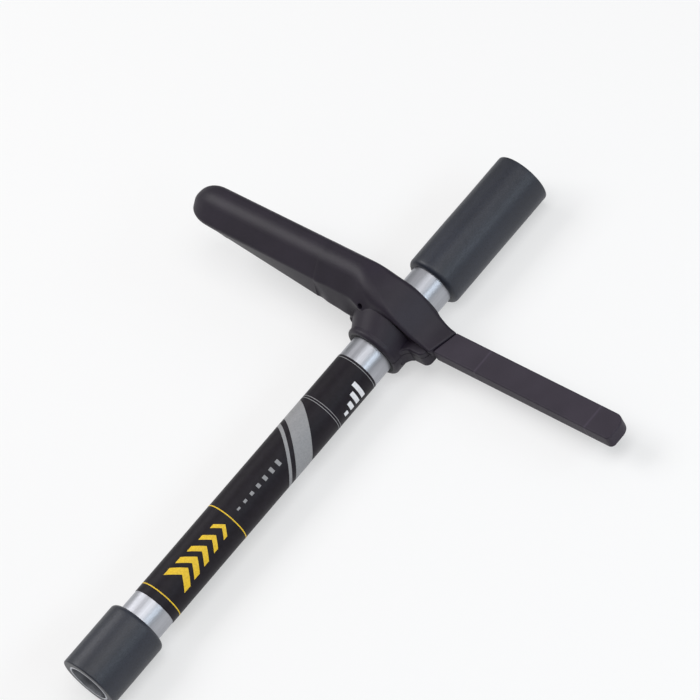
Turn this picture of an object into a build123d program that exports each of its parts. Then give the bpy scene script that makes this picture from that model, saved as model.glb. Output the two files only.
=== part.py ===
"""Shaft section of an engine-driven pole tool, with its clamped cross handle.

The row frame has its origin on the shaft axis at the lower tube end, +X along the shaft towards
the upper end, +Z up through the top of the handle, and +Y towards the grip arm. Millimetres.
"""

from build123d import *
import math
import os

os.makedirs("parts", exist_ok=True)

# ---------------------------------------------------------------- driving dimensions
# Shaft tube
tube_length = 402.0
tube_radius = 14.0
tube_wall = 1.5
seat_depth = 25.0
seat_relief = 0.25

# Foam grip sleeves
lower_sleeve_length = 45.0
lower_sleeve_radius = 19.0
upper_sleeve_length = 87.0
upper_sleeve_radius = 18.2
sleeve_lip_rounding = 3.0
sleeve_end_rounding = 1.0

# Printed wrap, with bare tube on each side of it
lower_bare_length = 13.7
upper_bare_length = 14.0
label_thickness = 0.2

# Drive shaft and its bushes
drive_radius = 4.0
drive_recess = 28.0
spline_count = 6
spline_length = 16.0
spline_width = 0.9
spline_depth = 0.6
bush_wall = 2.4
bush_length = 24.0
carrier_length = 22.0
carrier_flutes = 4
carrier_flute_radius = 2.6
station_inset = 62.0

# Clamp round the tube, set back from the upper sleeve
clamp_sleeve_gap = 15.0
clamp_length = 41.5
hub_inset = 16.75
collar_wall = 2.8
collar_rounding = 2.2
liner_thickness = 2.0
liner_split = 2.0
running_clearance = 0.05
clamp_gap = 0.4
flange_lower_inset = 11.0
flange_upper_inset = 6.0
flange_wing_reach = 34.6
flange_arm_reach = 29.8
flange_thickness = 8.0
upper_flange_thickness = 4.0
flange_rounding = 4.0
flange_edge_rounding = 1.2
neck_length = 6.5
neck_turn = 75
neck_overlap = 0.5
shoulder_start = 4.0
shoulder_length = 11.5
shoulder_flare = 2.8
shoulder_shift = 3.0

# Clamp fasteners
screw_radius = 2.5
screw_offset = 24.5
screw_pitch = 10.0
screw_head_radius = 4.25
screw_head_height = 5.0
screw_hex_across = 4.0
screw_hex_depth = 2.6
screw_edge_chamfer = 0.4
screw_tip_inset = 0.5
screw_hole_clearance = 0.25
washer_radius = 4.5
washer_thickness = 1.0
insert_radius = 3.2
insert_length = 5.0
insert_headroom = 0.5

# Barrier bar
bar_width = 17.2
bar_thickness = 8.4
bar_reach = 181.0
bar_setback = 0.55
bar_corner_front = 3.0
bar_corner_back = 7.5
bar_edge_rounding = 1.0
bar_wall = 2.4
bar_rib_reaches = (50.0, 73.0, 120.0, 162.0)
tongue_root = 19.6
tongue_width = 13.0
tongue_thickness = 6.4
pocket_clearance = 0.15

# Cross handle: wing over the bar, saddle over the shaft, and grip arm
wing_end_back = 38.6
wing_end_front = 43.7
wing_step = 1.3
wing_overrun = 4.3
wing_flat_length = 8.0
wing_back = 9.4
wing_ridge = 11.4
wing_front = 9.7
wing_crease = 2.4
wing_sole = -3.0
wing_rounding = 1.5
wing_edge_rounding = 1.1
saddle_wall = 8.6
saddle_inset = 1.75
arm_start = 24.0
arm_length = 123.0
arm_top = 36.0
arm_crown = 1.2
arm_ridge = 3.2
arm_crease = 26.0
arm_crease_reach = 9.6
arm_front = 15.7
arm_front_taper = 10.7
arm_sole = 11.0
arm_sole_rise = 1.5
nose_length = 21.0
arm_rounding = 4.2
arm_ridge_rounding = 12.0
arm_crease_rounding = 3.0
arm_sole_rounding = 2.2
arm_boss_height = 13.0
arm_boss_front = 12.6
core_hole_radius = 1.8
core_hole_depth = 5.0
core_hole_tilt = 35.0

# Sections of the saddle from the bar's side to the arm's: station across the shaft, rounding,
# ridge rounding, back edge, its top, ridge, its top, front edge, its top and sole. The back edge
# is a share of the saddle's back, and the rest are shares of the arch's radius.
saddle_shares = (
    (-1.16, 0.065, 0.065, 0.75, 0.28, -0.385, 0.28, -0.31, 0.12, -0.11),
    (-0.91, 0.08, 0.08, 0.89, 0.46, -0.39, 0.45, -0.31, 0.27, -0.11),
    (-0.62, 0.095, 0.11, 1.0, 0.78, -0.38, 0.77, -0.31, 0.51, -0.11),
    (-0.29, 0.10, 0.20, 1.0, 1.04, -0.31, 1.03, -0.36, 0.65, 0.0),
    (0.07, 0.11, 0.38, 1.0, 1.18, -0.20, 1.19, -0.43, 0.74, 0.11),
    (0.51, 0.10, 0.42, 1.0, 1.27, 0.04, 1.33, -0.42, 0.90, 0.14),
)
# Mouth of the core hole from the hub's centre, as shares of the arch's radius
core_hole_shares = (-0.393, 0.345, 0.88)
# Sections of the arm, as shares of its length
blend_shares = (0.0, 0.04, 0.09, 0.15, 0.22)
tip_shares = (0.92, 0.96, 1.0)
nose_angles = (17, 33, 49, 64, 76, 86)

# ---------------------------------------------------------------- worked-out values
tube_bore = tube_radius - tube_wall
seat_radius = tube_bore + seat_relief
liner_inner = tube_radius + running_clearance
liner_outer = liner_inner + liner_thickness
clamp_bore = liner_outer + running_clearance
collar_radius = clamp_bore + collar_wall
upper_sleeve_start = tube_length - upper_sleeve_length
clamp_end = upper_sleeve_start - clamp_sleeve_gap
clamp_start = clamp_end - clamp_length
label_start = lower_sleeve_length + lower_bare_length
label_end = clamp_start - upper_bare_length
flange_start = clamp_start + flange_lower_inset
flange_end = clamp_end - flange_upper_inset
flange_centre = (flange_start + flange_end) / 2
hub_centre = clamp_end - hub_inset
bar_centre = hub_centre + bar_setback
bush_radius = drive_radius + running_clearance + bush_wall
screw_seat = -flange_thickness
bar_half = bar_thickness / 2
tongue_half = tongue_thickness / 2
insert_base = tongue_half + pocket_clearance
insert_top = insert_base + insert_length
screw_tip = insert_top - screw_tip_inset
arch = collar_radius + saddle_wall
saddle_back = clamp_end - saddle_inset - hub_centre
wing_top = bar_half + wing_step
wing_far = wing_end_front + wing_overrun
ridge_top = arm_top + arm_crown
arm_end = arm_start + arm_length


def save(piece, label):
    """Name a finished piece and write it as its own STEP file."""
    piece.part.label = label
    export_step(piece.part, f"parts/{label}.step")


# ---------------------------------------------------------------- shaft tube
with BuildPart() as shaft_tube:
    with BuildSketch(Plane.YZ):
        Circle(tube_radius)
        Circle(tube_bore, mode=Mode.SUBTRACT)
    extrude(amount=tube_length)
    with BuildSketch(Plane.YZ):
        Circle(seat_radius)
    extrude(amount=seat_depth, mode=Mode.SUBTRACT)
    with BuildSketch(Plane.YZ.offset(tube_length)):
        Circle(seat_radius)
    extrude(amount=-seat_depth, mode=Mode.SUBTRACT)
save(shaft_tube, "shaft_tube")


# ---------------------------------------------------------------- foam sleeves and wrap
def make_sleeve(start, length, radius, lip_end):
    """A foam sleeve whose lip_end (+1 or -1 along X) faces the bare tube and is well rounded."""
    with BuildPart() as sleeve:
        with BuildSketch(Plane.YZ.offset(start)):
            Circle(radius)
            Circle(tube_radius, mode=Mode.SUBTRACT)
        extrude(amount=length)
        rims = sleeve.edges().filter_by(GeomType.CIRCLE).sort_by(SortBy.RADIUS)[-2:].sort_by(Axis.X)
        lip = rims[-1] if lip_end > 0 else rims[0]
        far = rims[0] if lip_end > 0 else rims[-1]
        fillet(lip, radius=sleeve_lip_rounding)
        fillet(far, radius=sleeve_end_rounding)
    return sleeve


lower_grip_sleeve = make_sleeve(0, lower_sleeve_length, lower_sleeve_radius, 1)
save(lower_grip_sleeve, "lower_grip_sleeve")
upper_grip_sleeve = make_sleeve(upper_sleeve_start, upper_sleeve_length, upper_sleeve_radius, -1)
save(upper_grip_sleeve, "upper_grip_sleeve")

with BuildPart() as label_wrap:
    with BuildSketch(Plane.YZ.offset(label_start)):
        Circle(tube_radius + label_thickness)
        Circle(tube_radius, mode=Mode.SUBTRACT)
    extrude(amount=label_end - label_start)
save(label_wrap, "label_wrap")

# ---------------------------------------------------------------- drive shaft
drive_length = tube_length - 2 * drive_recess
with BuildPart() as drive_shaft:
    with BuildSketch(Plane.YZ.offset(drive_recess)):
        Circle(drive_radius)
    extrude(amount=drive_length)
    for start in (drive_recess, drive_recess + drive_length - spline_length):
        with BuildSketch(Plane.YZ.offset(start)):
            with PolarLocations(drive_radius, spline_count):
                Rectangle(2 * spline_depth, spline_width)
        extrude(amount=spline_length, mode=Mode.SUBTRACT)
save(drive_shaft, "drive_shaft")

# ---------------------------------------------------------------- bush stations
stations = {
    "lower": station_inset,
    "middle": tube_length / 2,
    "upper": tube_length - station_inset,
}
for place, centre in stations.items():
    with BuildPart() as bush_carrier:
        with BuildSketch(Plane.YZ.offset(centre - carrier_length / 2)):
            Circle(tube_bore)
            Circle(bush_radius, mode=Mode.SUBTRACT)
            with PolarLocations(tube_bore, carrier_flutes, start_angle=45):
                Circle(carrier_flute_radius, mode=Mode.SUBTRACT)
        extrude(amount=carrier_length)
    save(bush_carrier, f"bush_carrier_{place}")

    with BuildPart() as shaft_bush:
        with BuildSketch(Plane.YZ.offset(centre - bush_length / 2)):
            Circle(bush_radius)
            Circle(drive_radius + running_clearance, mode=Mode.SUBTRACT)
        extrude(amount=bush_length)
    save(shaft_bush, f"shaft_bush_{place}")

# ---------------------------------------------------------------- shared clamp shapes
wing_slant = math.degrees(math.atan2(wing_end_front - wing_end_back, bar_width))
wing_middle = (wing_end_front + wing_end_back) / 2
# The wing's end face is upright and slants in plan; its normal points towards the bar's tip.
wing_end = Plane(
    origin=(bar_centre, -wing_middle, 0),
    x_dir=(0, 0, 1),
    z_dir=(-math.sin(math.radians(wing_slant)), -math.cos(math.radians(wing_slant)), 0),
)
screw_places = [
    (bar_centre + along * screw_pitch / 2, across * screw_offset)
    for along in (-1, 1)
    for across in (-1, 1)
]


# The clamp's collar before it is bored, with a rounded lower end.
with BuildPart() as clamp_collar:
    with BuildSketch(Plane.YZ.offset(clamp_start)):
        Circle(collar_radius)
    extrude(amount=clamp_length)
    fillet(clamp_collar.edges().filter_by(GeomType.CIRCLE).sort_by(Axis.X)[0], radius=collar_rounding)

# Plan of the clamp flange, with a concave neck on each side towards the collar.
with BuildSketch(Plane.XY) as flange_outline:
    with BuildLine():
        side = Polyline(
            (flange_centre, 0),
            (flange_start - neck_length, 0),
            (flange_start - neck_length, collar_radius - neck_overlap),
        )
        bend = JernArc(side @ 1, (1, 0), neck_length, neck_turn)
        Polyline(bend @ 1, (flange_centre, (bend @ 1).Y), (flange_centre, 0))
    make_face()
    mirror(about=Plane.XZ)
    with Locations((flange_centre, (flange_arm_reach - flange_wing_reach) / 2)):
        RectangleRounded(flange_end - flange_start, flange_arm_reach + flange_wing_reach, flange_rounding)


# Each half of the flange, with its outer edge rounded.
with BuildPart() as upper_flange:
    extrude(flange_outline.sketch, amount=upper_flange_thickness)
    fillet(upper_flange.faces().sort_by(Axis.Z)[-1].edges(), radius=flange_edge_rounding)
with BuildPart() as lower_flange:
    extrude(flange_outline.sketch, amount=-flange_thickness)
    fillet(lower_flange.faces().sort_by(Axis.Z)[0].edges(), radius=flange_edge_rounding)


# ---------------------------------------------------------------- barrier bar
with BuildPart() as barrier_bar:
    with BuildSketch(Plane.XY.offset(-bar_half)):
        with Locations((bar_centre, -bar_reach / 2)):
            Rectangle(bar_width, bar_reach)
    extrude(amount=bar_thickness)
    split(bisect_by=wing_end, keep=Keep.TOP)
    uprights = barrier_bar.edges().filter_by(Axis.Z).sort_by(Axis.Y)[:2].sort_by(Axis.X)
    fillet(uprights[0], radius=bar_corner_front)
    fillet(uprights[-1], radius=bar_corner_back)
    fillet(barrier_bar.faces().sort_by(Axis.Z)[-1].edges(), radius=bar_edge_rounding)
    # The underside is hollow between cross ribs.
    rib_reaches = (*bar_rib_reaches, bar_reach - bar_wall / 2)
    for near, far in zip(rib_reaches[:-1], rib_reaches[1:]):
        with BuildSketch(Plane.XY.offset(-bar_half)):
            with Locations((bar_centre, -(near + far) / 2)):
                Rectangle(bar_width - 2 * bar_wall, far - near - bar_wall)
        extrude(amount=bar_thickness - bar_wall, mode=Mode.SUBTRACT)
    # The tongue lies between the clamp halves, and the right-hand screws lock its notched sides.
    with BuildSketch(Plane.XY.offset(-tongue_half)):
        with Locations((bar_centre, -(tongue_root + wing_end_front) / 2)):
            Rectangle(tongue_width, wing_end_front - tongue_root)
    extrude(amount=tongue_thickness)
    with Locations(*[(x, y, tongue_half) for x, y in screw_places if y < 0]):
        Hole(screw_radius + screw_hole_clearance, depth=tongue_thickness)
save(barrier_bar, "barrier_bar")

# ---------------------------------------------------------------- cross handle
# The grip arm, the saddle over the shaft and the wing that holds the barrier bar are one moulding.
# Each section is a rounded outline in an XZ plane at a station along Y, given by five corners:
# back top, ridge, front, front of the sole, back of the sole. X counts from the hub's centre.
def handle_section(y, corners, roundings, scale=1.0):
    """A section of the handle at station y, shrunk about its own middle by scale."""
    middle_x = (corners[0][0] + corners[2][0]) / 2
    middle_z = (corners[0][1] + corners[3][1]) / 2
    moved = [
        (hub_centre + middle_x + (x - middle_x) * scale, middle_z + (z - middle_z) * scale)
        for x, z in corners
    ]
    scaled = [rounding * scale for rounding in roundings]
    with BuildSketch(Plane.XZ.offset(-y)) as section:
        with BuildLine():
            FilletPolyline(*moved, radius=scaled, close=True)
        make_face()
    return section.sketch


wing_corners = [
    (wing_back, wing_top),
    (-wing_ridge, wing_top),
    (-wing_front, wing_crease),
    (-wing_front, wing_sole),
    (wing_back, wing_sole),
]
arm_root = [
    (saddle_back, arm_top),
    (arm_ridge, ridge_top),
    (-arm_crease_reach, arm_crease),
    (-arm_front, arm_sole),
    (saddle_back, arm_sole),
]
arm_tip = [
    (saddle_back, arm_top),
    (arm_ridge, ridge_top),
    (-arm_crease_reach, arm_crease),
    (-arm_front + arm_front_taper, arm_sole + arm_sole_rise),
    (saddle_back, arm_sole + arm_sole_rise),
]

# Mouth of the core hole, on the slope between the saddle's ridge and its front.
hole_along, hole_across, hole_height = [share * arch for share in core_hole_shares]
core_hole_mouth = Plane(
    origin=(hub_centre + hole_along, hole_across, hole_height),
    x_dir=(0, 1, 0),
    z_dir=(-math.cos(math.radians(core_hole_tilt)), 0, math.sin(math.radians(core_hole_tilt))),
)


def saddle_section(
    station, rounding, ridge_rounding, back, back_top, ridge, ridge_height, front, front_top, sole
):
    """A section over the shaft, from a row of shares."""
    corners = [
        (back * saddle_back, back_top * arch),
        (ridge * arch, ridge_height * arch),
        (front * arch, front_top * arch),
        (front * arch, sole * arch),
        (back * saddle_back, sole * arch),
    ]
    roundings = [rounding * arch] * len(corners)
    roundings[1] = ridge_rounding * arch
    return handle_section(station * arch, corners, roundings)


def arm_section(share, station=None, scale=1.0):
    """A section of the grip arm, part way along its straight taper from root to tip."""
    corners = [
        (near_x + (far_x - near_x) * share, near_z + (far_z - near_z) * share)
        for (near_x, near_z), (far_x, far_z) in zip(arm_root, arm_tip)
    ]
    roundings = (arm_rounding, arm_ridge_rounding, arm_crease_rounding, arm_sole_rounding, arm_rounding)
    if station is None:
        station = arm_start + arm_length * share
    return handle_section(station, corners, roundings, scale)


with BuildPart() as cross_handle:
    # Wing and saddle, running smoothly into the root of the grip arm
    for y in (-wing_far, -wing_far + wing_flat_length):
        add(handle_section(y, wing_corners, [wing_rounding] * len(wing_corners)))
    for shares in saddle_shares:
        add(saddle_section(*shares))
    for share in blend_shares:
        add(arm_section(share))
    loft()
    # Straight taper of the arm
    add(arm_section(blend_shares[-1]))
    add(arm_section(tip_shares[0]))
    loft(ruled=True)
    # Tip of the arm with its rounded nose
    for share in tip_shares:
        add(arm_section(share))
    for angle in nose_angles:
        turn = math.radians(angle)
        station = arm_end + nose_length * math.sin(turn)
        add(arm_section(1.0, station=station, scale=math.cos(turn)))
    loft()
    # Upper half of the clamp: collar, the shoulder that widens it into the saddle, and flange
    add(clamp_collar.part)
    with BuildSketch(Plane.YZ.offset(clamp_start + shoulder_start)):
        Circle(collar_radius)
    with BuildSketch(Plane.YZ.offset(clamp_start + shoulder_start + shoulder_length)):
        with Locations((shoulder_shift, shoulder_shift)):
            Circle(collar_radius + shoulder_flare)
    loft()
    add(upper_flange.part)
    # Boss under the root of the arm, for the inserts
    with BuildSketch(Plane.XY):
        with Locations(((hub_centre - arm_boss_front + flange_end) / 2, flange_arm_reach / 2)):
            RectangleRounded(flange_end - hub_centre + arm_boss_front, flange_arm_reach, flange_rounding)
    extrude(amount=arm_boss_height)
    # Blind core hole in the sloping front of the saddle
    with Locations(core_hole_mouth):
        Hole(core_hole_radius, depth=core_hole_depth)
    # Slanted end of the wing with its top edge rounded, and the slot for the bar's tongue
    split(bisect_by=wing_end, keep=Keep.BOTTOM)
    end_face = cross_handle.faces().sort_by(Axis.Y)[0]
    fillet(end_face.edges().sort_by(Axis.Z)[-1], radius=wing_edge_rounding)
    with BuildSketch(Plane.XY):
        with Locations((bar_centre, -(tongue_root + wing_far) / 2)):
            Rectangle(tongue_width + 2 * pocket_clearance, wing_far - tongue_root + 2 * pocket_clearance)
    extrude(amount=tongue_half + pocket_clearance, mode=Mode.SUBTRACT)
    # Parting plane and shaft bore
    split(bisect_by=Plane.XY.offset(clamp_gap / 2), keep=Keep.TOP)
    with BuildSketch(Plane.YZ.offset(clamp_start)):
        Circle(clamp_bore)
    extrude(amount=clamp_length, mode=Mode.SUBTRACT)
    # Seats for the threaded inserts, with room above for the screw tips
    with BuildSketch(Plane.XY):
        with Locations(*screw_places):
            Circle(screw_radius + screw_hole_clearance)
    extrude(amount=insert_top + insert_headroom, mode=Mode.SUBTRACT)
    with BuildSketch(Plane.XY.offset(insert_base)):
        with Locations(*screw_places):
            Circle(insert_radius)
    extrude(amount=insert_length, mode=Mode.SUBTRACT)
save(cross_handle, "cross_handle")

# ---------------------------------------------------------------- clamp cap
with BuildPart() as clamp_cap:
    add(clamp_collar.part)
    add(lower_flange.part)
    split(bisect_by=Plane.XY.offset(-clamp_gap / 2), keep=Keep.BOTTOM)
    with BuildSketch(Plane.YZ.offset(clamp_start)):
        Circle(clamp_bore)
    extrude(amount=clamp_length, mode=Mode.SUBTRACT)
    with BuildSketch(Plane.XY):
        with Locations((bar_centre, -(tongue_root + wing_far) / 2)):
            Rectangle(tongue_width + 2 * pocket_clearance, wing_far - tongue_root + 2 * pocket_clearance)
    extrude(amount=-(tongue_half + pocket_clearance), mode=Mode.SUBTRACT)
    with BuildSketch(Plane.XY):
        with Locations(*screw_places):
            Circle(screw_radius + screw_hole_clearance)
    extrude(amount=-flange_thickness, mode=Mode.SUBTRACT)
save(clamp_cap, "clamp_cap")

# ---------------------------------------------------------------- liner and fasteners
with BuildPart() as clamp_liner:
    with BuildSketch(Plane.YZ.offset(clamp_start + running_clearance)):
        Circle(liner_outer)
        Circle(liner_inner, mode=Mode.SUBTRACT)
        with Locations((liner_outer, 0)):
            Rectangle(2 * liner_outer, liner_split, mode=Mode.SUBTRACT)
    extrude(amount=clamp_length - 2 * running_clearance)
save(clamp_liner, "clamp_liner")

with BuildPart() as clamp_screws:
    with BuildSketch(Plane.XY.offset(screw_tip)):
        with Locations(*screw_places):
            Circle(screw_radius)
    extrude(amount=screw_seat - washer_thickness - screw_tip)
    with BuildSketch(Plane.XY.offset(screw_seat - washer_thickness)):
        with Locations(*screw_places):
            Circle(screw_head_radius)
    extrude(amount=-screw_head_height)
    heads = clamp_screws.faces().filter_by(Axis.Z).group_by(Axis.Z)[0]
    chamfer(heads.edges(), length=screw_edge_chamfer)
    with BuildSketch(Plane.XY.offset(screw_seat - washer_thickness - screw_head_height)):
        with Locations(*screw_places):
            RegularPolygon(screw_hex_across / 2, 6, major_radius=False)
    extrude(amount=screw_hex_depth, mode=Mode.SUBTRACT)
save(clamp_screws, "clamp_screws")

with BuildPart() as clamp_washers:
    with BuildSketch(Plane.XY.offset(screw_seat)):
        with Locations(*screw_places):
            Circle(washer_radius)
            Circle(screw_radius + screw_hole_clearance, mode=Mode.SUBTRACT)
    extrude(amount=-washer_thickness)
save(clamp_washers, "clamp_washers")

with BuildPart() as clamp_inserts:
    with BuildSketch(Plane.XY.offset(insert_base)):
        with Locations(*screw_places):
            Circle(insert_radius)
            Circle(screw_radius, mode=Mode.SUBTRACT)
    extrude(amount=insert_length)
save(clamp_inserts, "clamp_inserts")
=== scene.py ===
"""Looks of a pole tool's shaft section and its cross handle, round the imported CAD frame.

Lengths are in metres, in the frame's own axes: +X along the shaft, +Y towards the grip arm, +Z up.
"""

import math

import bpy
from mathutils import Matrix, Vector, noise


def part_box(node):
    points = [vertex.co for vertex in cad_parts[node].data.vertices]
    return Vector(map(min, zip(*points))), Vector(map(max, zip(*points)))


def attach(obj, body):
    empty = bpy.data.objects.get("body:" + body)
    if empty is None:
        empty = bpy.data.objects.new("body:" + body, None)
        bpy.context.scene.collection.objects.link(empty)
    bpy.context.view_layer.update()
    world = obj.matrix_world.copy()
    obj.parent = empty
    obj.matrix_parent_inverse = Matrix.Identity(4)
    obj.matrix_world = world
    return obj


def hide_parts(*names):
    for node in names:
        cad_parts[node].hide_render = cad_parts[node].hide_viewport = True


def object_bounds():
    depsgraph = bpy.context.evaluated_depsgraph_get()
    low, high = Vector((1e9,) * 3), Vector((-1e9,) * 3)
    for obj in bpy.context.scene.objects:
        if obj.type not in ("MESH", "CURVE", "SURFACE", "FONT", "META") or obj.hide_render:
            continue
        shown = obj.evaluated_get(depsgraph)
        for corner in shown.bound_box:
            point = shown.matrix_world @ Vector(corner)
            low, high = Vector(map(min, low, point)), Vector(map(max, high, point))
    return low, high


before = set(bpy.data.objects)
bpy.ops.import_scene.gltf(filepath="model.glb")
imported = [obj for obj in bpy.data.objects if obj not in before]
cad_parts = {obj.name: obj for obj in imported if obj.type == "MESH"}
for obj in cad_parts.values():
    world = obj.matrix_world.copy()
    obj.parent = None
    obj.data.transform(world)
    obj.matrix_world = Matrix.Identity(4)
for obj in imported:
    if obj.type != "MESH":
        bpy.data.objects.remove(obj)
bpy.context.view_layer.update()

MM = 0.001

# ---------------------------------------------------------------- places read from the frame
tube_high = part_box("shaft_tube")[1]
label_low, label_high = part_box("label_wrap")
tube_radius = tube_high.y
label_radius = label_high.y
shaft_length = tube_high.x

# ---------------------------------------------------------------- camera
VIEW_SWING = math.radians(15.5)
VIEW_TILT = math.radians(42.0)
SHAFT_LEAN = math.radians(49.3)
VIEW_DISTANCE = 2.65
AIM_ALONG = 0.2840
AIM_LEFT = 0.0289
AIM_DOWN = 0.0167
LENS_MM = 231.4
SENSOR_MM = 36.0
CLIP_NEAR = 0.05
CLIP_FAR = 50.0

# Towards the camera, and the two directions of the picture: along the shaft and across it.
to_camera = Vector((
    -math.sin(VIEW_SWING),
    -math.cos(VIEW_SWING) * math.sin(VIEW_TILT),
    math.cos(VIEW_SWING) * math.cos(VIEW_TILT),
))
shaft_way = Vector((1, 0, 0))
picture_along = (shaft_way - to_camera * shaft_way.dot(to_camera)).normalized()
picture_across = picture_along.cross(to_camera)
picture_right = picture_along * math.cos(SHAFT_LEAN) + picture_across * math.sin(SHAFT_LEAN)
picture_down = picture_across * math.cos(SHAFT_LEAN) - picture_along * math.sin(SHAFT_LEAN)


def make_camera():
    """The camera, whose picture is centred a little left of and below the clamp."""
    data = bpy.data.cameras.new("camera")
    data.lens = LENS_MM
    data.sensor_width = SENSOR_MM
    data.clip_start = CLIP_NEAR
    data.clip_end = CLIP_FAR
    camera = bpy.data.objects.new("camera", data)
    bpy.context.scene.collection.objects.link(camera)
    centre = Vector((AIM_ALONG, 0, 0)) - picture_right * AIM_LEFT + picture_down * AIM_DOWN
    turn = Matrix((picture_right, -picture_down, to_camera)).transposed()
    camera.matrix_world = Matrix.Translation(centre + to_camera * VIEW_DISTANCE) @ turn.to_4x4()
    bpy.context.scene.camera = camera


make_camera()


# ---------------------------------------------------------------- node helpers
def put(tree, kind, inputs=None, **settings):
    """Adds a node; each input is a value, or a socket to join."""
    node = tree.nodes.new(kind)
    for key, value in settings.items():
        setattr(node, key, value)
    for key, value in (inputs or {}).items():
        if isinstance(value, bpy.types.NodeSocket):
            tree.links.new(value, node.inputs[key])
        else:
            node.inputs[key].default_value = value
    return node


def reckon(tree, operation, first, second=0.0):
    """The result of a math operation; each term is a number or a socket."""
    return put(tree, "ShaderNodeMath", {0: first, 1: second}, operation=operation).outputs[0]


def new_material(name):
    """An empty material, its tree and its output node."""
    material = bpy.data.materials.new(name)
    material.use_nodes = True
    tree = material.node_tree
    tree.nodes.clear()
    return material, tree, tree.nodes.new("ShaderNodeOutputMaterial")


def place(tree, scale=(1, 1, 1)):
    """Object coordinates, stretched by scale."""
    where = put(tree, "ShaderNodeTexCoord").outputs["Object"]
    return put(tree, "ShaderNodeMapping", {"Vector": where, "Scale": scale}).outputs[0]


def grain(tree, where, scale, detail, roughness=0.55):
    """A noise value from 0 to 1; scale is in features per metre."""
    inputs = {"Vector": where, "Scale": scale, "Detail": detail, "Roughness": roughness}
    return put(tree, "ShaderNodeTexNoise", inputs).outputs[0]


def cell_distance(tree, where, scale):
    """Each point's distance from the middle of its cell; scale is in cells per metre."""
    cells = put(tree, "ShaderNodeTexVoronoi", {"Vector": where, "Scale": scale})
    return cells.outputs["Distance"]


def ramp(tree, value, low, high):
    """Stretches value from low..high to 0..1, clamped."""
    inputs = {"Value": value, "From Min": low, "From Max": high}
    return put(tree, "ShaderNodeMapRange", inputs).outputs[0]


def blend_colours(tree, share, first, second):
    """A colour that goes from first to second as share goes from 0 to 1."""
    node = put(tree, "ShaderNodeMix", data_type="RGBA")
    colours = [socket for socket in node.inputs if socket.type == "RGBA"]
    for socket, value in zip((node.inputs["Factor"], *colours), (share, first, second)):
        if isinstance(value, bpy.types.NodeSocket):
            tree.links.new(value, socket)
        else:
            socket.default_value = value
    return next(socket for socket in node.outputs if socket.type == "RGBA")


def spread(tree, value, low, high):
    """Turns a 0..1 value into one from low to high."""
    inputs = {"Value": value, "To Min": low, "To Max": high}
    return put(tree, "ShaderNodeMapRange", inputs).outputs[0]


def bump(tree, height, distance, strength, below=None):
    """A normal from a height value; distance is the height of one step, in metres."""
    inputs = {"Height": height, "Distance": distance, "Strength": strength}
    if below is not None:
        inputs["Normal"] = below
    return put(tree, "ShaderNodeBump", inputs).outputs[0]


def finish_material(tree, output, inputs):
    """Adds the surface shader and joins it to the output."""
    shader = put(tree, "ShaderNodeBsdfPrincipled", inputs)
    tree.links.new(shader.outputs[0], output.inputs["Surface"])


def srgb(red, green, blue):
    """A linear colour from 0..255 display values."""
    channels = [c / 255 for c in (red, green, blue)]
    return (*[c / 12.92 if c <= 0.04045 else ((c + 0.055) / 1.055) ** 2.4 for c in channels], 1.0)


# ---------------------------------------------------------------- materials
# Sink lines on the bar's top, over the two ribs that show through: a shallow dent with a painted
# highlight
RIB_STATIONS = (-73 * MM, -162 * MM)
RIB_LINE_WIDTH = 2.4 * MM

# How much paler worn plastic, and the painted highlight on the sink lines, are than fresh plastic
WEAR_AND_HIGHLIGHT_GAIN = 1.9
WEAR_AND_HIGHLIGHT_LIFT = 0.004

# How far tool lines on turned metal are drawn out: their noise is slowed to this share
LINE_STRETCH = 0.03


def rib_lines(tree, stations):
    """1 on the lines across the bar over its ribs, and 0 away from them."""
    where = put(tree, "ShaderNodeTexCoord").outputs["Object"]
    y = put(tree, "ShaderNodeSeparateXYZ", {"Vector": where}).outputs["Y"]
    lines = 0.0
    for station in stations:
        away = reckon(tree, "ABSOLUTE", reckon(tree, "SUBTRACT", y, station))
        line = ramp(tree, away, RIB_LINE_WIDTH / 2, 0.0)
        lines = reckon(tree, "MAXIMUM", lines, line)
    return lines


def moulded_plastic(name, dark, light, roughness, rib_stations=()):
    """Moulded nylon: fine spark grain, soft flow marks, a few pale scuffs and dented lines over ribs
    with a painted highlight.
    """
    material, tree, output = new_material(name)
    where = place(tree)
    flow = grain(tree, where, scale=38.0, detail=2.0)
    fine = grain(tree, where, scale=1500.0, detail=4.0)
    cells = cell_distance(tree, where, scale=1150.0)
    scuffs = grain(tree, place(tree, (1.0, 0.22, 1.0)), scale=420.0, detail=6.0, roughness=0.7)
    scuff_share = ramp(tree, scuffs, 0.66, 0.82)
    tone = blend_colours(tree, ramp(tree, flow, 0.32, 0.68), dark, light)
    wear_and_highlight = tuple(min(1.0, c * WEAR_AND_HIGHLIGHT_GAIN + WEAR_AND_HIGHLIGHT_LIFT) for c in light[:3]) + (1.0,)
    colour = blend_colours(tree, reckon(tree, "MULTIPLY", scuff_share, 0.35), tone, wear_and_highlight)
    rough = spread(tree, fine, *roughness)
    normal = bump(tree, cells, 0.05 * MM, 0.5)
    normal = bump(tree, fine, 0.06 * MM, 0.55, normal)
    normal = bump(tree, flow, 0.25 * MM, 0.35, normal)
    if rib_stations:
        lines = rib_lines(tree, rib_stations)
        # Painted highlight: the sink lines are lifted towards the pale colour, over a real dent
        colour = blend_colours(tree, reckon(tree, "MULTIPLY", lines, 0.5), colour, wear_and_highlight)
        normal = bump(tree, lines, 0.2 * MM, 0.6, normal)
    finish_material(tree, output, {
        "Base Color": colour, "Roughness": rough, "Normal": normal, "Specular IOR Level": 0.36,
    })
    return material


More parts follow.
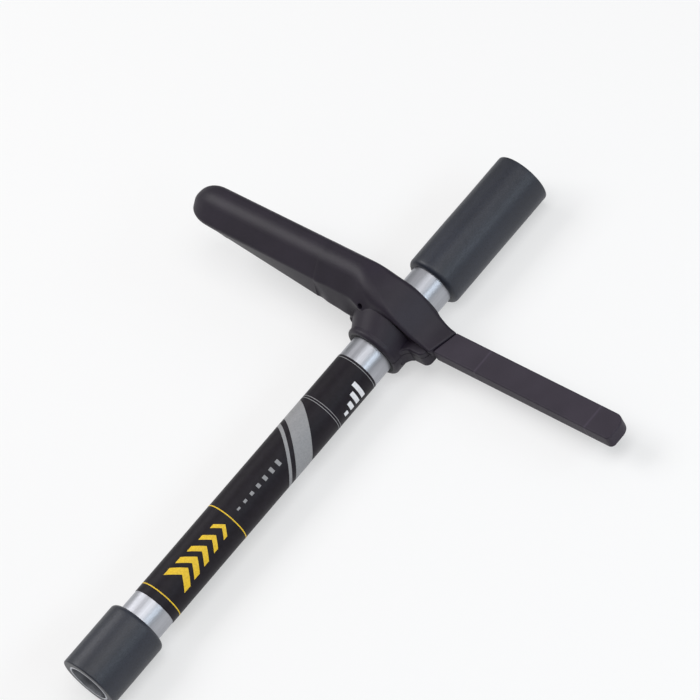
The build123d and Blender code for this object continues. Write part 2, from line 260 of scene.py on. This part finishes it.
def extruded_aluminium():
    """Drawn tube: fine lines along its length, a soft satin and a few faint handling marks."""
    material, tree, output = new_material("tube_aluminium")
    along = place(tree, (0.012, 1.0, 1.0))
    lines = grain(tree, along, scale=2600.0, detail=4.0, roughness=0.7)
    broad = grain(tree, place(tree, (0.05, 1.0, 1.0)), scale=210.0, detail=3.0)
    marks = grain(tree, place(tree), scale=520.0, detail=6.0, roughness=0.75)
    streaks = ramp(tree, lines, 0.3, 0.7)
    tone = blend_colours(tree, streaks, srgb(166, 167, 173), srgb(184, 186, 192))
    dull = ramp(tree, marks, 0.6, 0.8)
    colour = blend_colours(tree, dull, tone, srgb(158, 159, 165))
    rough = spread(tree, broad, 0.36, 0.48)
    normal = bump(tree, lines, 0.02 * MM, 0.5)
    normal = bump(tree, marks, 0.03 * MM, 0.25, normal)
    finish_material(tree, output, {
        "Base Color": colour, "Metallic": 1.0, "Roughness": rough, "Normal": normal,
        "Anisotropic": 0.35,
    })
    return material


def label_film():
    """Satin black printed film with a faint orange peel and hairline scratches."""
    material, tree, output = new_material("label_film")
    peel = grain(tree, place(tree), scale=330.0, detail=2.0)
    hairs = grain(tree, place(tree, (0.06, 1.0, 1.0)), scale=1900.0, detail=5.0, roughness=0.75)
    tone = blend_colours(tree, ramp(tree, peel, 0.35, 0.65), srgb(21, 16, 23), srgb(26, 21, 29))
    scratch_share = reckon(tree, "MULTIPLY", ramp(tree, hairs, 0.68, 0.8), 0.3)
    colour = blend_colours(tree, scratch_share, tone, srgb(78, 74, 84))
    rough = spread(tree, hairs, 0.42, 0.56)
    normal = bump(tree, peel, 0.04 * MM, 0.4)
    finish_material(tree, output, {
        "Base Color": colour, "Roughness": rough, "Normal": normal, "Specular IOR Level": 0.2,
    })
    return material


def print_ink(name, colour, thin):
    """Screen-printed ink, a little thinner in places."""
    material, tree, output = new_material(name)
    cover = grain(tree, place(tree), scale=900.0, detail=5.0, roughness=0.65)
    tone = blend_colours(tree, ramp(tree, cover, 0.42, 0.72), colour, thin)
    finish_material(tree, output, {
        "Base Color": tone, "Roughness": spread(tree, cover, 0.38, 0.5), "Specular IOR Level": 0.3,
        "Normal": bump(tree, cover, 0.01 * MM, 0.5),
    })
    return material


def foam_rubber():
    """Closed-cell foam: small pores, painted darker as shade in their hollows, in a skin that is
    rubbed smoother in patches.
    """
    material, tree, output = new_material("sleeve_foam")
    where = place(tree)
    pores = cell_distance(tree, where, scale=1300.0)
    coarse = grain(tree, where, scale=620.0, detail=5.0, roughness=0.65)
    patches = grain(tree, place(tree, (0.35, 1.0, 1.0)), scale=55.0, detail=3.0)
    tone = blend_colours(tree, ramp(tree, patches, 0.3, 0.7), srgb(31, 34, 44), srgb(40, 44, 56))
    # Painted shade: each pore darkens towards its middle, where the bump dents it
    colour = blend_colours(tree, ramp(tree, pores, 0.10, 0.42), srgb(21, 22, 28), tone)
    rough = spread(tree, coarse, 0.38, 0.5)
    normal = bump(tree, pores, 0.12 * MM, 0.45)
    normal = bump(tree, coarse, 0.12 * MM, 0.5, normal)
    normal = bump(tree, patches, 0.4 * MM, 0.4, normal)
    finish_material(tree, output, {
        "Base Color": colour, "Roughness": rough, "Normal": normal, "Specular IOR Level": 0.5,
    })
    return material


def rubber(name, dark, light):
    """Plain dark rubber with a dusty bloom."""
    material, tree, output = new_material(name)
    where = place(tree)
    bloom = grain(tree, where, scale=160.0, detail=5.0, roughness=0.6)
    fine = grain(tree, where, scale=1800.0, detail=3.0)
    colour = blend_colours(tree, ramp(tree, bloom, 0.35, 0.7), dark, light)
    normal = bump(tree, fine, 0.05 * MM, 0.5)
    finish_material(tree, output, {
        "Base Color": colour, "Roughness": spread(tree, bloom, 0.6, 0.78), "Normal": normal,
        "Specular IOR Level": 0.3,
    })
    return material


def turned_metal(name, bright, dull, roughness, ring_axis):
    """Turned or drawn metal, with fine tool lines across ring_axis and stains from handling."""
    material, tree, output = new_material(name)
    scale = [LINE_STRETCH] * 3
    scale[ring_axis] = 1.0
    rings = grain(tree, place(tree, tuple(scale)), scale=4200.0, detail=4.0, roughness=0.7)
    stains = grain(tree, place(tree), scale=240.0, detail=5.0, roughness=0.65)
    colour = blend_colours(tree, ramp(tree, stains, 0.45, 0.75), bright, dull)
    finish_material(tree, output, {
        "Base Color": colour, "Metallic": 1.0, "Roughness": spread(tree, rings, *roughness),
        "Normal": bump(tree, rings, 0.02 * MM, 0.6),
    })
    return material


X_AXIS, Z_AXIS = 0, 2
materials = {
    "shaft_tube": extruded_aluminium(),
    "label_wrap": label_film(),
    "cross_handle": moulded_plastic(
        "handle_plastic", srgb(28, 22, 34), srgb(36, 29, 42), (0.44, 0.55)
    ),
    "barrier_bar": moulded_plastic(
        "bar_plastic", srgb(43, 36, 48), srgb(51, 44, 56), (0.54, 0.66), RIB_STATIONS
    ),
    "clamp_liner": rubber("liner_rubber", srgb(34, 34, 36), srgb(48, 48, 50)),
    "drive_shaft": turned_metal(
        "drive_steel", srgb(176, 174, 172), srgb(120, 116, 110), (0.22, 0.4), X_AXIS
    ),
    "clamp_screws": turned_metal(
        "screw_steel", srgb(190, 192, 196), srgb(140, 142, 146), (0.2, 0.38), Z_AXIS
    ),
    "clamp_inserts": turned_metal(
        "insert_brass", srgb(212, 172, 92), srgb(150, 112, 58), (0.22, 0.4), Z_AXIS
    ),
}
materials["clamp_cap"] = materials["cross_handle"]
materials["clamp_washers"] = materials["clamp_screws"]
bronze = turned_metal("bush_bronze", srgb(184, 132, 84), srgb(118, 82, 52), (0.3, 0.5), X_AXIS)
carrier_rubber = rubber("carrier_rubber", srgb(28, 28, 30), srgb(42, 42, 44))
for station in ("lower", "middle", "upper"):
    materials[f"shaft_bush_{station}"] = bronze
    materials[f"bush_carrier_{station}"] = carrier_rubber
for node, material in materials.items():
    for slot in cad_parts[node].material_slots:
        slot.material = material

# ---------------------------------------------------------------- foam sleeves
SLEEVE_SIDES = 96
SLEEVE_ROW_PITCH = 3 * MM
LIP_ROUNDING = 3.0 * MM
END_ROUNDING = 1.0 * MM
ROUNDING_STEPS = 6
FOAM_UNEVENNESS = 0.16 * MM
SHARP_ANGLE = math.radians(50)

# How fast the foam's swells follow each other: per metre along the sleeve, and per radius round it
SWELLS_ALONG = 26.0
SWELLS_ROUND = 1.1

foam = foam_rubber()


def mesh_object(name, points, faces, material, body):
    """A mesh piece that rides on a body and shades smoothly except at sharp corners."""
    mesh = bpy.data.meshes.new(name)
    mesh.from_pydata(points, [], faces)
    mesh.update()
    mesh.shade_smooth()
    mesh.set_sharp_from_angle(angle=SHARP_ANGLE)
    mesh.materials.append(material)
    piece = bpy.data.objects.new(name, mesh)
    bpy.context.scene.collection.objects.link(piece)
    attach(piece, body)
    return piece


def quarter(centre_x, centre_r, radius, start, stop):
    """Points of an arc in the sleeve's profile; angles in degrees from +X towards outwards."""
    points = []
    for i in range(ROUNDING_STEPS + 1):
        angle = math.radians(start + (stop - start) * i / ROUNDING_STEPS)
        points.append((centre_x + radius * math.cos(angle), centre_r + radius * math.sin(angle)))
    return points


def make_sleeve(node, lip_at_high):
    """A foam sleeve in the place of its CAD solid, with an uneven skin and a soft lip."""
    low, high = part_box(node)
    outer = high.y - FOAM_UNEVENNESS
    low_round = END_ROUNDING if lip_at_high else LIP_ROUNDING
    high_round = LIP_ROUNDING if lip_at_high else END_ROUNDING
    profile = [(low.x, tube_radius)]
    profile += quarter(low.x + low_round, outer - low_round, low_round, 180, 90)
    straight = high.x - low.x - low_round - high_round
    steps = max(2, round(straight / SLEEVE_ROW_PITCH))
    for i in range(1, steps):
        profile.append((low.x + low_round + straight * i / steps, outer))
    profile += quarter(high.x - high_round, outer - high_round, high_round, 90, 0)
    profile.append((high.x, tube_radius))
    points, faces = [], []
    for x, radius in profile:
        skin = max(0.0, min(1.0, (radius - tube_radius) / (outer - tube_radius)))
        for side in range(SLEEVE_SIDES):
            turn = math.tau * side / SLEEVE_SIDES
            spot = Vector((
                x * SWELLS_ALONG, math.cos(turn) * SWELLS_ROUND, math.sin(turn) * SWELLS_ROUND
            ))
            r = radius + noise.noise(spot) * FOAM_UNEVENNESS * skin
            points.append((x, r * math.cos(turn), r * math.sin(turn)))
    rows = len(profile)
    for row in range(rows):
        following = (row + 1) % rows
        for side in range(SLEEVE_SIDES):
            beside = (side + 1) % SLEEVE_SIDES
            faces.append((
                row * SLEEVE_SIDES + side,
                following * SLEEVE_SIDES + side,
                following * SLEEVE_SIDES + beside,
                row * SLEEVE_SIDES + beside,
            ))
    piece = mesh_object(f"foam_{node}", points, faces, foam, "shaft")
    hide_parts(node)


make_sleeve("lower_grip_sleeve", True)
make_sleeve("upper_grip_sleeve", False)

# ---------------------------------------------------------------- printed marks on the wrap
# Each mark is a thin patch that starts inside the film and stands proud of it
INK_SINK = 0.05 * MM
INK_LIFT = 0.04 * MM
ANGLE_STEP = math.radians(3)

# How far each end of a ring stops short of the line opposite the camera, in radians
RING_SEAM = 0.001

# The angles below are in degrees round the wrap, from the line that faces the camera.
# Hairlines: one at the upper end, and a pair that divides off the end field
HAIRLINE_WIDTH = 0.35 * MM
EDGE_LINE_INSET = 1.6 * MM
DIVIDER_INSET = 33.5 * MM
DIVIDER_HALF_GAP = 0.8 * MM

# Waved grey bands: how far below the divider, and how wide
BANDS = ((22.0 * MM, 15.0 * MM), (34.5 * MM, 2.6 * MM))
BAND_SWING = 11.5 * MM

# Grey blocks of growing height, from the wrap's lower end
BLOCK_COUNT = 7
BLOCK_START = 72.0 * MM
BLOCK_PITCH = 6.0 * MM
BLOCK_LENGTH = 2.4 * MM
BLOCK_HALF_ANGLE = 2.5
BLOCK_HALF_ANGLE_GROWTH = 0.9

# Shrinking yellow chevrons and the rings round them, from the wrap's lower end
CHEVRON_COUNT = 5
CHEVRON_START = 22.0 * MM
CHEVRON_PITCH = 9.0 * MM
CHEVRON_WIDTH = 5.4 * MM
CHEVRON_WIDTH_LOSS = 0.6 * MM
CHEVRON_HALF_ANGLE = 34
CHEVRON_HALF_ANGLE_LOSS = 3
CHEVRON_SLANT = 0.8
CHEVRON_RINGS = (6.0 * MM, 66.0 * MM)
CHEVRON_RING_WIDTH = 0.7 * MM

# White bars of growing height, above the divider
BAR_COUNT = 4
BAR_START = 6.0 * MM
BAR_PITCH = 5.0 * MM
BAR_WIDTH = 3.0 * MM
BAR_FOOT_ANGLE = 60
BAR_FIRST_ANGLE = 48
BAR_ANGLE_STEP = 12

yellow_ink = print_ink("ink_yellow", srgb(240, 200, 45), srgb(214, 174, 40))
grey_ink = print_ink("ink_grey", srgb(150, 150, 152), srgb(138, 138, 141))
white_ink = print_ink("ink_white", srgb(236, 236, 238), srgb(214, 214, 218))

divider_x = label_high.x - DIVIDER_INSET

# Outwards at angle 0, which faces the camera, and at a quarter turn towards the picture's lower right
face_out = Vector((0, -math.sin(VIEW_TILT), math.cos(VIEW_TILT)))
face_side = Vector((0, -math.cos(VIEW_TILT), -math.sin(VIEW_TILT)))


def add_mark(points, faces, start, stop, left, right):
    """Adds one thin curved patch between two angles; left and right give its X at an angle."""
    steps = max(1, math.ceil(abs(stop - start) / ANGLE_STEP))
    first = len(points)
    for i in range(steps + 1):
        angle = start + (stop - start) * i / steps
        out = face_out * math.cos(angle) + face_side * math.sin(angle)
        for radius in (label_radius - INK_SINK, label_radius + INK_LIFT):
            for x in (left(angle), right(angle)):
                points.append(tuple(out * radius + Vector((x, 0, 0))))
    for i in range(steps):
        a, b = first + 4 * i, first + 4 * (i + 1)
        for k, m in ((0, 1), (1, 3), (3, 2), (2, 0)):
            faces.append((a + k, b + k, b + m, a + m))
    faces.append((first, first + 1, first + 3, first + 2))
    last = first + 4 * steps
    faces.append((last, last + 2, last + 3, last + 1))


def level(x):
    """X along a straight edge square to the shaft."""
    return lambda angle: x


def waved(x, reach):
    """X along a line that swings once to each side on its way round the wrap."""
    return lambda angle: x - reach * math.sin(angle)


def pointed(x):
    """X along a chevron's edge, whose point is on the line that faces the camera."""
    return lambda angle: x - CHEVRON_SLANT * abs(angle) * label_radius


def ring_line(points, faces, x, width, reach=0.0):
    """A line right round the wrap, level or waved."""
    half_turn = math.pi - RING_SEAM
    left, right = waved(x - width / 2, reach), waved(x + width / 2, reach)
    add_mark(points, faces, -half_turn, half_turn, left, right)


def make_marks(name, material, add_marks):
    """One mesh of all marks of one ink."""
    points, faces = [], []
    add_marks(points, faces)
    mesh_object(name, points, faces, material, "shaft")


def grey_marks(points, faces):
    """Edge line, double divider, a broad and a narrow waved band, and a row of blocks."""
    ring_line(points, faces, label_high.x - EDGE_LINE_INSET, HAIRLINE_WIDTH)
    for side in (-1, 1):
        ring_line(points, faces, divider_x + side * DIVIDER_HALF_GAP, HAIRLINE_WIDTH)
    for below, width in BANDS:
        ring_line(points, faces, divider_x - below, width, BAND_SWING)
    for i in range(BLOCK_COUNT):
        x = label_low.x + BLOCK_START + BLOCK_PITCH * i
        half = math.radians(BLOCK_HALF_ANGLE + BLOCK_HALF_ANGLE_GROWTH * i)
        add_mark(points, faces, -half, half, level(x), level(x + BLOCK_LENGTH))


def yellow_marks(points, faces):
    """Chevrons that grow narrower along the shaft, between two rings."""
    for i in range(CHEVRON_COUNT):
        x = label_low.x + CHEVRON_START + CHEVRON_PITCH * i
        half = math.radians(CHEVRON_HALF_ANGLE - CHEVRON_HALF_ANGLE_LOSS * i)
        width = CHEVRON_WIDTH - CHEVRON_WIDTH_LOSS * i
        for start, stop in ((-half, 0.0), (0.0, half)):
            add_mark(points, faces, start, stop, pointed(x), pointed(x + width))
    for inset in CHEVRON_RINGS:
        ring_line(points, faces, label_low.x + inset, CHEVRON_RING_WIDTH)


def white_marks(points, faces):
    """Bars of growing height in the end field."""
    foot = math.radians(BAR_FOOT_ANGLE)
    for i in range(BAR_COUNT):
        x = divider_x + BAR_START + BAR_PITCH * i
        top = math.radians(BAR_FIRST_ANGLE - BAR_ANGLE_STEP * i)
        add_mark(points, faces, top, foot, level(x), level(x + BAR_WIDTH))


make_marks("wrap_marks_grey", grey_ink, grey_marks)
make_marks("wrap_marks_yellow", yellow_ink, yellow_marks)
make_marks("wrap_marks_white", white_ink, white_marks)

# ---------------------------------------------------------------- stage and light
FLOOR_SIZE = 16.0
FLOOR_COLOUR = (0.9, 0.9, 0.9, 1)
FLOOR_WHITE = 0.5
WORLD_LEVEL = 0.3
LAMP_DISTANCE = 1.8
WHITE_LIGHT = (1, 1, 1)
COOL_LIGHT = (0.80, 0.91, 1.0)
ROSE_LIGHT = (1.0, 0.88, 0.90)
BLUE_LIGHT = (0.72, 0.87, 1.0)


def make_floor():
    """A pale floor at the part's lowest point; it keeps the shadow and is clear from below."""
    low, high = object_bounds()
    middle = (low + high) / 2
    half = FLOOR_SIZE / 2
    ways = ((-1, -1), (1, -1), (1, 1), (-1, 1))
    corners = [(middle.x + x * half, middle.y + y * half, low.z) for x, y in ways]
    mesh = bpy.data.meshes.new("floor")
    mesh.from_pydata(corners, [], [(0, 1, 2, 3)])
    material, tree, output = new_material("floor_paper")
    lit = put(tree, "ShaderNodeBsdfDiffuse", {"Color": FLOOR_COLOUR}).outputs[0]
    white = put(tree, "ShaderNodeEmission", {"Color": (1, 1, 1, 1), "Strength": 1.0}).outputs[0]
    share = reckon(tree, "MULTIPLY", white_rays(tree), FLOOR_WHITE)
    top = put(tree, "ShaderNodeMixShader", {0: share, 1: lit, 2: white}).outputs[0]
    below = put(tree, "ShaderNodeNewGeometry").outputs["Backfacing"]
    clear = put(tree, "ShaderNodeBsdfTransparent").outputs[0]
    both = put(tree, "ShaderNodeMixShader", {0: below, 1: top, 2: clear}).outputs[0]
    tree.links.new(both, output.inputs["Surface"])
    mesh.materials.append(material)
    floor = bpy.data.objects.new("floor", mesh)
    bpy.context.scene.collection.objects.link(floor)


def white_rays(tree):
    """1 for the rays that see the backdrop white: from the camera, in a gloss and through glass."""
    paths = put(tree, "ShaderNodeLightPath")
    seen = paths.outputs["Is Camera Ray"]
    for kind in ("Is Glossy Ray", "Is Transmission Ray"):
        seen = reckon(tree, "MAXIMUM", seen, paths.outputs[kind])
    return seen


def make_world():
    """Dim even light, so that the lamps shape the glosses."""
    world = bpy.data.worlds.new("studio")
    world.use_nodes = True
    tree = world.node_tree
    tree.nodes.clear()
    output = tree.nodes.new("ShaderNodeOutputWorld")
    ambient = put(tree, "ShaderNodeBackground", {"Color": (1, 1, 1, 1), "Strength": WORLD_LEVEL})
    tree.links.new(ambient.outputs[0], output.inputs["Surface"])
    bpy.context.scene.world = world


def softbox(name, way, width, length, power, colour=WHITE_LIGHT):
    """A soft panel aimed at the shaft's middle from the given way, its length along the shaft."""
    data = bpy.data.lights.new(name, "AREA")
    data.shape = "RECTANGLE"
    data.size = width
    data.size_y = length
    data.energy = power
    data.color = colour
    light = bpy.data.objects.new(name, data)
    bpy.context.scene.collection.objects.link(light)
    way = way.normalized()
    along = (shaft_way - way * shaft_way.dot(way)).normalized()
    turn = Matrix((along.cross(way), along, way)).transposed()
    aim = Vector((shaft_length / 2, 0, 0))
    light.matrix_world = Matrix.Translation(aim + way * LAMP_DISTANCE) @ turn.to_4x4()


make_world()
make_floor()
softbox("back", Vector((-0.12, 0.66, 0.73)), 0.9, 1.05, 13.0)
softbox("overhead", Vector((0.05, -0.35, 0.94)), 1.3, 1.3, 13.0)
softbox("front_key", Vector((0.27, -0.85, 0.45)), 0.32, 1.7, 9.0, COOL_LIGHT)
softbox("left_fill", to_camera * 0.35 - picture_across, 0.8, 1.6, 1.5, ROSE_LIGHT)
softbox("right_fill", to_camera * 0.2 + picture_across, 0.9, 1.6, 3.0, BLUE_LIGHT)

bpy.context.scene.view_settings.view_transform = "Standard"
